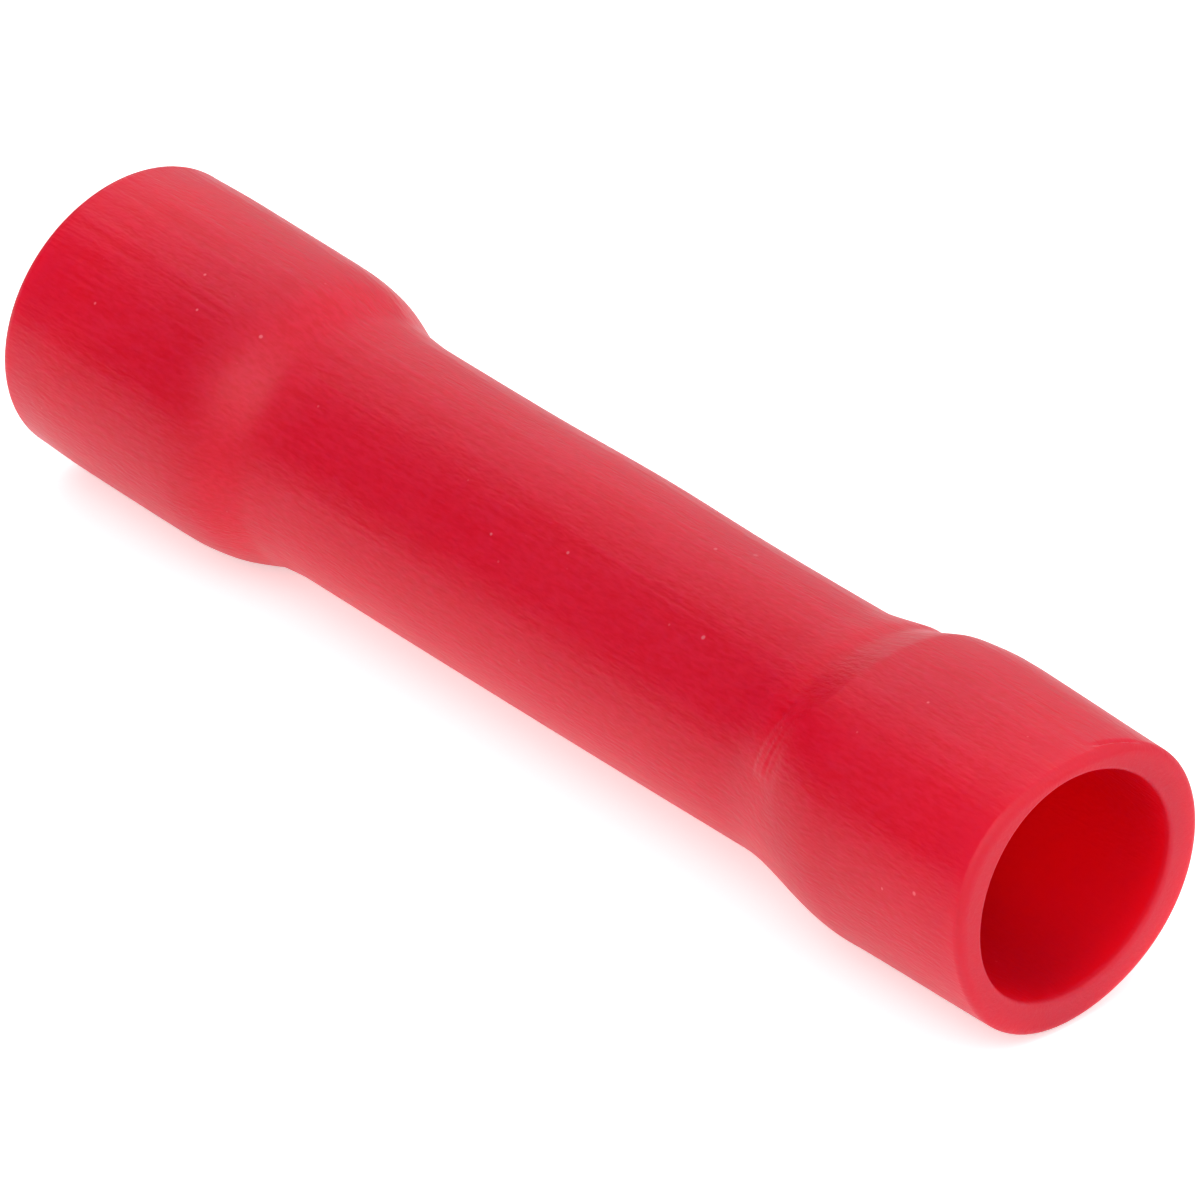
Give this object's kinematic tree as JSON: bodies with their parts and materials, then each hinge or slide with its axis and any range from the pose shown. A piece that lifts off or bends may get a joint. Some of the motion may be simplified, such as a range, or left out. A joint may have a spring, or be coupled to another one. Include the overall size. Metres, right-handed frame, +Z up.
{
  "type": "insulated butt splice connector",
  "caption": "Red vinyl sleeve with a flared bell at each end and a necked waist, gripping a metal crimp barrel that joins two wires end to end.",
  "frame": {"origin": "on the sleeve's axis, at the middle of its length", "axes": "+X along the axis, out of the near mouth; +Z up as the part lies on its side; +Y across it"},
  "size_m": [0.0234, 0.0052, 0.0052],
  "materials": {
    "red_vinyl": "satin extruded vinyl, slightly translucent, with fine lengthwise streaks",
    "tinned_copper": "dull tin plate over soft copper"
  },
  "bodies": {
    "root": {"insulation_sleeve": "red_vinyl", "crimp_barrel": "tinned_copper"}
  },
  "joints": []
}
